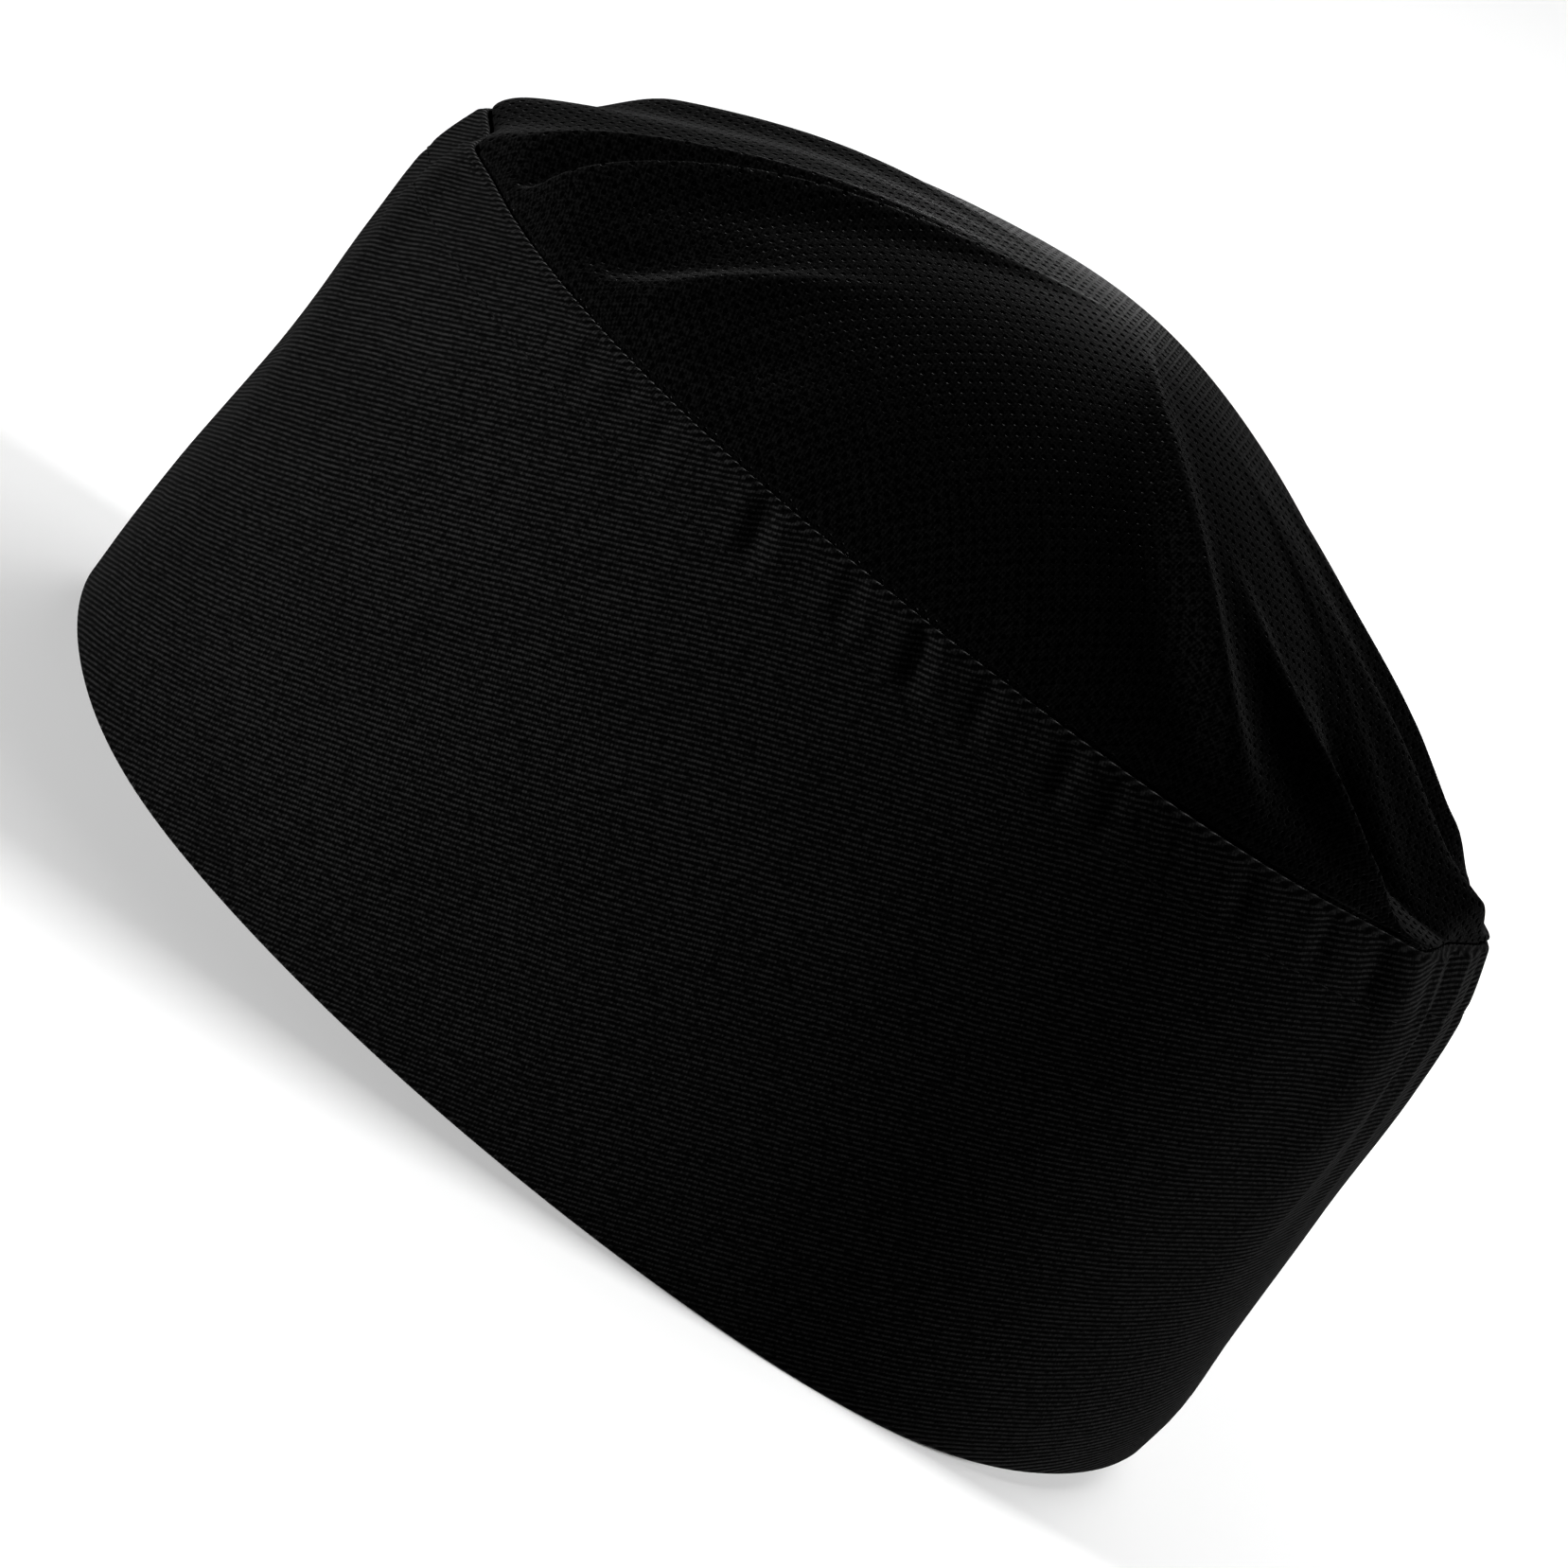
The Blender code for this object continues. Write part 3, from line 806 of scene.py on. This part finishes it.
@dataclass
class Band:
    """The twill band: one cloth folded at the rim, puckered under the seam where it is topstitched down."""

    form: CapForm
    stitch_drop: float = 0.0108
    groove_depth: float = 0.00022
    groove_spread: float = 0.0009
    pucker_depth: float = 0.0011
    pucker_spread: float = 0.0022
    pucker_start: float = 0.18
    pucker_end: float = 1.12
    pucker_fade: float = 0.45
    ridge_share: float = 0.35
    ridge_away: float = 1.7
    valley_width: float = 0.8
    valley_sharpness: float = 1.7
    crease_rise: float = 0.0007
    crease_spread: float = 0.0016
    crease_sharpness: float = 1.8
    dent_depth: float = 0.0005
    dent_waves: int = 9
    columns: int = 960
    fine_step: float = 0.0008
    coarse_step: float = 0.0034
    inner_step: float = 0.0090
    roll_rows: int = 5
    far_puckers: int = 15
    far_span: float = 0.72
    far_shift: float = 0.03
    far_depths: tuple[float, float] = (0.3, 0.8)
    far_spreads: tuple[float, float] = (0.8, 1.1)
    piece: bpy.types.Object | None = field(default=None, init=False)

    def stitch_height(self) -> float:
        """The height share of the topstitching."""
        return 1.0 - self.stitch_drop / self.form.band_height

    def pucker_rows(self) -> list[tuple[bool, Pucker]]:
        """The puckers of the near side, and plain ones for the far side, with whether each is far."""
        chance = np.random.default_rng(SEED)
        rows = [(False, row) for row in PUCKERS]
        for place in np.linspace(-self.far_span, self.far_span, self.far_puckers):
            along = place + chance.uniform(-self.far_shift, self.far_shift)
            depth = chance.uniform(*self.far_depths)
            spread = chance.uniform(*self.far_spreads)
            rows.append((True, Pucker(along, depth, spread, 0.0)))
        return rows

    def puckers(self, angle: np.ndarray, height: np.ndarray) -> np.ndarray:
        """How far the puckers move the cloth out, negative in their valleys."""
        drop = (1.0 - height) * self.form.band_height / self.stitch_drop
        fade = smooth_step(drop / self.pucker_start)
        fade = fade * smooth_step((self.pucker_end - drop) / self.pucker_fade)
        x = self.form.outline(angle, np.ones_like(angle))[0]
        far = np.sin(angle) > 0.0
        total = np.zeros_like(x)
        for is_far, row in self.pucker_rows():
            spread = self.pucker_spread * row.spread
            away = x - self.form.half_length * row.along - row.lean * spread * drop
            beside = self.ridge_away * spread
            shape = self.ridge_share * lobe(away - beside, spread, ROUND)
            shape = shape + self.ridge_share * lobe(away + beside, spread, ROUND)
            shape -= lobe(away, spread * self.valley_width, self.valley_sharpness)
            total += np.where(far == is_far, row.depth * shape, 0.0)
        return self.pucker_depth * total * fade

    def creases(self, angle: np.ndarray, height: np.ndarray) -> np.ndarray:
        """How far the creases at the two tips move the cloth out, negative in their valleys."""
        form = self.form
        total = np.zeros_like(angle)
        for row in CREASES:
            turn = from_end(angle, row.end)
            down = (1.0 - height) / row.run
            across = form.half_width * form.section(height, "half_width") * np.sin(turn)
            away = across - form.half_width * (row.offset + row.drift * down)
            away = np.where(np.abs(turn) < math.pi / 2.0, away, form.half_width)
            spread = self.crease_spread * row.spread
            total += row.rise * smooth_step(1.0 - down) * lobe(away, spread, self.crease_sharpness)
        return self.crease_rise * total

    def dents(self, angle: np.ndarray, height: np.ndarray) -> np.ndarray:
        """Slow, shallow unevenness of the cloth."""
        chance = np.random.default_rng(SEED + 1)
        total = np.zeros_like(angle)
        for _ in range(self.dent_waves):
            turns = chance.integers(2, 9)
            climb = chance.uniform(-1.2, 1.2)
            phase = chance.uniform(0.0, 2.0 * math.pi)
            total += np.sin(turns * angle + 2.0 * math.pi * climb * height + phase) / turns
        return self.dent_depth * total * smooth_step(height / 0.3) * smooth_step((1.0 - height) / 0.2)

    def relief(self, angle: np.ndarray, height: np.ndarray) -> np.ndarray:
        """How far the cloth stands out from the plain wall."""
        line = (height - self.stitch_height()) * self.form.band_height
        groove = self.groove_depth * lobe(line, self.groove_spread, ROUND)
        return self.puckers(angle, height) + self.creases(angle, height) + self.dents(angle, height) - groove

    def levels(self) -> np.ndarray:
        """Height shares from the rim's roll to the seam's, closer together above the topstitching."""
        roll = self.form.band_wall / 2.0
        low = roll / self.form.band_height
        turn = self.stitch_height() - 3.0 * self.groove_spread / self.form.band_height
        span = (turn - low) * self.form.band_height
        coarse = np.linspace(low, turn, round(span / self.coarse_step), endpoint=False)
        top = 1.0 - roll / self.form.band_height
        fine = np.linspace(turn, top, round((top - turn) * self.form.band_height / self.fine_step))
        return np.concatenate([coarse, fine])

    def profile(self) -> np.ndarray:
        """The wall's section as rows of height share, distance inward, share of relief and cloth place."""
        form = self.form
        roll = form.band_wall / 2.0
        outer = [(level, 0.0, 1.0, level * form.band_height) for level in self.levels()]
        inner_count = round(form.band_height / self.inner_step)
        low, high = outer[0][0], outer[-1][0]
        inner = [
            (level, form.band_wall, 0.0, -level * form.band_height)
            for level in np.linspace(high, low, inner_count)
        ]
        turn = np.linspace(0.0, math.pi, self.roll_rows + 2)[1:-1]
        rim = [
            (low * (1.0 - math.sin(a)), roll * (1.0 + math.cos(a)), 0.0, -roll * math.cos(a))
            for a in turn
        ]
        seam = [
            (high + low * math.sin(a), roll * (1.0 - math.cos(a)), 0.0, form.band_height - roll * math.cos(a))
            for a in turn
        ]
        return np.array(inner + rim + outer + seam)

    def build(self) -> bpy.types.Object:
        """Makes the band and dresses it."""
        form = self.form
        angle = form.stations(self.columns)
        profile = self.profile()
        height, angles = np.meshgrid(profile[:, 0], angle, indexing="ij")
        relief = self.relief(angles, height) * profile[:, 2][:, None]
        rings = form.wall(angles, height, profile[:, 1][:, None] - relief)
        middle = form.wall(angle, np.full_like(angle, 0.5), np.zeros_like(angle))
        steps = np.linalg.norm(np.roll(middle, -1, axis=0) - middle, axis=-1)
        length = float(steps.sum())
        start = self.columns // 4
        reach = np.concatenate([[0.0], np.cumsum(np.roll(steps, -start))])
        rings = np.roll(rings, -start, axis=1)
        rows = np.append(profile[:, 3], profile[-1, 3] + form.band_wall / 4.0)
        flat = np.stack(np.broadcast_arrays(reach[None, :], rows[:, None]), axis=-1)
        wall = ClothWall(rings, flat)
        self.piece = wall.piece("twill_band", TwillFinish(length).material())
        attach(self.piece, "root")
        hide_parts("band")
        return self.piece


@dataclass
class Crown:
    """The mesh crown: one soft cloth, folded into both ends of the band and full in the middle."""

    form: CapForm
    columns: int = 640
    rows: int = 96
    skirt_rows: int = 5
    inner_every: int = 3
    flatten_passes: int = 240
    flatten_step: float = 0.2
    flat_size: tuple[float, float] = (0.285, 0.170)
    piece: bpy.types.Object | None = field(default=None, init=False)

    def dome(self) -> np.ndarray:
        """The outer face over the seam, as rows that stop one short of the apex."""
        form = self.form
        angle = form.stations(self.columns)
        climb, angles = np.meshgrid(np.arange(self.rows) / self.rows, angle, indexing="ij")
        base = form.dome(angles, climb)
        ring = base[0]
        spacing = np.linalg.norm(np.roll(ring, -1, axis=0) - np.roll(ring, 1, axis=0), axis=-1)
        turn = (np.roll(angle, -1) - np.roll(angle, 1)) % (2.0 * math.pi)
        rise = form.folds(angles, climb, (spacing / turn)[None])
        rise = np.maximum(rise, -form.valley_share * (base[..., 2] - ring[:, 2]))
        direction = normals_of(base)
        direction[..., :2] *= smooth_step(climb / form.fold_turn)[..., None]
        return base + direction * rise[..., None]

    def lay_flat(self, grid: np.ndarray, apex: np.ndarray) -> np.ndarray:
        """Lays the cloth flat: every thread comes to its own length, so that the mesh keeps its size.

        Args:
            grid: The outer face, from the seam up.
            apex: Its highest point.

        Returns:
            Where each point lies on the flat cloth, in metres.
        """
        whole = np.concatenate([grid, np.broadcast_to(apex, (1, grid.shape[1], 3))])
        steps = np.linalg.norm(np.diff(whole, axis=0), axis=-1)
        out = np.cumsum(steps[::-1], axis=0)[::-1]
        way = grid[0, :, :2] - apex[:2]
        flat = out[..., None] * (way / np.linalg.norm(way, axis=-1, keepdims=True))[None]
        links = []
        for down, across in ((1, 0), (0, 1), (1, 1), (1, -1)):
            rest = np.roll(grid, -across, axis=1)[down:] - grid[: len(grid) - down]
            links.append((down, across, np.linalg.norm(rest, axis=-1)))
        for _ in range(self.flatten_passes):
            move = np.zeros_like(flat)
            for down, across, rest in links:
                gap = np.roll(flat, -across, axis=1)[down:] - flat[: len(flat) - down]
                length = np.maximum(np.linalg.norm(gap, axis=-1), 1e-9)
                pull = gap * (0.5 * (length - rest) / length)[..., None]
                move[: len(flat) - down] += pull
                move[down:] -= np.roll(pull, across, axis=1)
            flat = flat + move * self.flatten_step
        return flat

    def build(self) -> bpy.types.Object:
        """Makes the crown and dresses it."""
        form = self.form
        angle = form.stations(self.columns)
        dome = self.dome()
        apex = form.apex()
        flat = self.lay_flat(dome, apex)
        inner_dome = dome - normals_of(dome) * form.crown_wall
        depth = np.linspace(form.seam_allowance, 0.0, self.skirt_rows)
        height, angles = np.meshgrid(1.0 - depth / form.band_height, angle, indexing="ij")
        clear = form.band_wall + form.seam_clearance
        outer_skirt = form.wall(angles, height, np.full_like(height, clear))
        inner_skirt = form.wall(angles, height, np.full_like(height, clear + form.crown_wall))
        outer_skirt[-1, :, 2] += form.seam_clearance
        inner_skirt[-1, :, 2] += form.seam_clearance
        inner_dome[0] = inner_skirt[-1]
        inner_dome[0, :, 2] = dome[0, :, 2]
        way = flat[0] / np.linalg.norm(flat[0], axis=-1, keepdims=True)
        skirt_flat = flat[:1] + way[None] * (depth + form.seam_roll)[:, None, None]
        sparse = slice(None, None, self.inner_every)
        rings = np.concatenate([inner_dome[sparse][::-1], inner_skirt[::-1], outer_skirt, dome])
        places = np.concatenate([flat[sparse][::-1], skirt_flat[::-1], skirt_flat, flat])
        places = np.concatenate([places, places[:, :1]], axis=1)
        poles = np.stack([apex - np.array([0.0, 0.0, form.crown_wall]), apex])
        pole_flat = np.stack([flat[-1].mean(axis=0)] * 2)
        wall = ClothWall(rings, places, poles, pole_flat)
        self.piece = wall.piece("mesh_crown", PerforatedFinish().material())
        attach(self.piece, "root")
        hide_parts("crown")
        return self.piece


@dataclass
class Topstitch:
    """A row of stitches that follows the band under its seam."""

    band: Band
    stitch_pitch: float = 0.0031
    stitch_length: float = 0.0025
    thread: float = 0.00032
    stand_share: float = 0.15
    piece: bpy.types.Object | None = field(default=None, init=False)

    def path(self) -> bpy.types.Object:
        """The line that the stitches follow, as a closed curve on the band's face."""
        form = self.band.form
        angle = form.stations(self.band.columns)
        height = np.full_like(angle, self.band.stitch_height())
        stand = self.thread * self.stand_share + self.band.relief(angle, height)
        points = form.wall(angle, height, -stand)
        data = bpy.data.curves.new("stitch_line", "CURVE")
        data.dimensions = "3D"
        spline = data.splines.new("POLY")
        spline.points.add(len(points) - 1)
        spline.points.foreach_set("co", np.insert(points, 3, 1.0, axis=1).ravel())
        spline.use_cyclic_u = True
        return place_in_scene("stitch_line", data)

    def tree(self, material: bpy.types.Material) -> bpy.types.NodeTree:
        """The geometry nodes that lay stitches along a curve.

        Args:
            material: The thread's finish.

        Returns:
            The tree, with the stitches' sizes as its named inputs.
        """
        tree = bpy.data.node_groups.new("topstitching", "GeometryNodeTree")
        bench = NodeBench(tree)
        tree.interface.new_socket("Line", in_out="INPUT", socket_type="NodeSocketGeometry")
        for name in ("Stitch Pitch", "Stitch Length", "Thread"):
            tree.interface.new_socket(name, in_out="INPUT", socket_type="NodeSocketFloat")
        tree.interface.new_socket("Seed", in_out="INPUT", socket_type="NodeSocketInt")
        tree.interface.new_socket("Stitches", in_out="OUTPUT", socket_type="NodeSocketGeometry")
        given = bench.add("NodeGroupInput")
        spaced = bench.add(
            "GeometryNodeResampleCurve",
            {"mode": "LENGTH"},
            {"Curve": given.wire("Line"), "Length": given.wire("Stitch Pitch")},
        )
        bead = bench.add("GeometryNodeMeshUVSphere", None, {"Segments": 8, "Rings": 6, "Radius": 0.5})
        size = bench.add(
            "ShaderNodeCombineXYZ",
            None,
            {0: given.wire("Stitch Length"), 1: given.wire("Thread"), 2: given.wire("Thread")},
        )
        stitch = bench.add(
            "GeometryNodeTransform", None, {"Geometry": bead.wire("Mesh"), "Scale": size.wire(0)}
        )
        tangent = bench.add("GeometryNodeInputTangent")
        aligned = bench.add(
            "FunctionNodeAlignRotationToVector", {"axis": "X"}, {"Vector": tangent.wire("Tangent")}
        )
        sway = bench.add(
            "FunctionNodeRandomValue",
            {"data_type": "FLOAT_VECTOR"},
            {"Min": (0.0, -0.05, -0.05), "Max": (0.0, 0.05, 0.05), "Seed": given.wire("Seed")},
        )
        turned = bench.add(
            "FunctionNodeRotateRotation",
            {"rotation_space": "LOCAL"},
            {"Rotation": aligned.wire("Rotation"), "Rotate By": sway.wire("Value")},
        )
        laid = bench.add(
            "GeometryNodeInstanceOnPoints",
            None,
            {
                "Points": spaced.wire("Curve"),
                "Instance": stitch.wire("Geometry"),
                "Rotation": turned.wire("Rotation"),
            },
        )
        real = bench.add("GeometryNodeRealizeInstances", None, {"Geometry": laid.wire("Instances")})
        dressed = bench.add(
            "GeometryNodeSetMaterial", None, {"Geometry": real.wire("Geometry"), "Material": material}
        )
        bench.add("NodeGroupOutput", None, {"Stitches": dressed.wire("Geometry")})
        return tree

    def build(self) -> bpy.types.Object:
        """Makes the row of stitches a plain mesh."""
        material = ThreadFinish().material()
        line = self.path()
        tree = self.tree(material)
        modifier = line.modifiers.new("topstitching", "NODES")
        modifier.node_group = tree
        sizes = {
            "Stitch Pitch": self.stitch_pitch,
            "Stitch Length": self.stitch_length,
            "Thread": self.thread,
            "Seed": SEED,
        }
        for item in tree.interface.items_tree:
            if item.name in sizes:
                modifier[item.identifier] = sizes[item.name]
        evaluated = line.evaluated_get(bpy.context.evaluated_depsgraph_get())
        mesh = bpy.data.meshes.new_from_object(evaluated)
        bpy.data.objects.remove(line)
        mesh.shade_smooth()
        mesh.name = "topstitching"
        self.piece = place_in_scene("topstitching", mesh)
        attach(self.piece, "root")
        return self.piece


LAMP_AIM = (0.0, 0.0, 0.06)
SOFTBOXES = (
    Softbox("above", (0.35, 0.70, 1.45), 1.00, 11.0),
    Softbox("left_front", (-1.38, -0.58, 0.27), 0.34, 68.0),
    Softbox("right_side", (1.37, 0.44, 0.44), 0.35, 44.0),
    Softbox("behind", (0.60, 1.68, 0.75), 0.60, 8.0),
)


@dataclass
class Studio:
    """The floor, the soft lamps and the camera."""

    floor_side: float = 9.0
    ambient: float = 0.0
    elevation: float = 18.0
    roll: float = 39.9
    distance: float = 1.2
    aim: tuple[float, float, float] = (-0.00275, 0.0, 0.0516)
    picture_width: float = 1657.0
    focal_pixels: float = 8007.6
    sensor: float = 36.0

    def floor(self) -> None:
        """Makes the floor, which isn't part of the cap."""
        half = self.floor_side / 2.0
        corners = [(-half, -half, 0.0), (half, -half, 0.0), (half, half, 0.0), (-half, half, 0.0)]
        mesh = bpy.data.meshes.new("studio_floor")
        mesh.from_pydata(corners, [], [(0, 1, 2, 3)])
        mesh.materials.append(FloorFinish().material())
        floor = place_in_scene("studio_floor", mesh)

    def lamps(self) -> None:
        """Hangs the softboxes and lights the room round them."""
        for row in SOFTBOXES:
            data = bpy.data.lights.new(row.name, "AREA")
            data.size = row.side
            data.energy = row.power
            lamp = place_in_scene(row.name, data)
            lamp.location = row.place
            lamp.rotation_euler = (Vector(row.place) - Vector(LAMP_AIM)).to_track_quat("Z", "Y").to_euler()
        world = bpy.data.worlds.new("studio_room")
        world.use_nodes = True
        bench = NodeBench(world.node_tree)
        sockets = {"Color": (1.0, 1.0, 1.0, 1.0), "Strength": self.ambient}
        room = bench.add("ShaderNodeBackground", None, sockets)
        bench.add("ShaderNodeOutputWorld", None, {"Surface": room.wire("Background")})
        bpy.context.scene.world = world

    def camera(self) -> None:
        """Makes the camera, tilted about its own axis as the picture is."""
        data = bpy.data.cameras.new("studio_camera")
        data.sensor_width = self.sensor
        data.lens = self.sensor * self.focal_pixels / self.picture_width
        camera = place_in_scene("studio_camera", data)
        rise = math.radians(self.elevation)
        back = Vector((0.0, -math.cos(rise), math.sin(rise)))
        camera.location = Vector(self.aim) + self.distance * back
        camera.rotation_mode = "QUATERNION"
        turn = Quaternion((0.0, 0.0, 1.0), math.radians(self.roll))
        camera.rotation_quaternion = back.to_track_quat("Z", "Y") @ turn
        bpy.context.scene.camera = camera

    def build(self) -> None:
        """Sets up the whole studio."""
        self.camera()
        self.floor()
        self.lamps()
        bpy.context.scene.view_settings.view_transform = "Standard"


def main() -> None:
    """Builds the studio and the cap."""
    logging.basicConfig(level=logging.INFO, format="%(message)s")
    Studio().build()
    form = CapForm()
    band = Band(form)
    for piece in (band.build(), Crown(form).build(), Topstitch(band).build()):
        LOG.info("%s: %d faces", piece.name, len(piece.data.polygons))


if __name__ == "__main__":
    main()
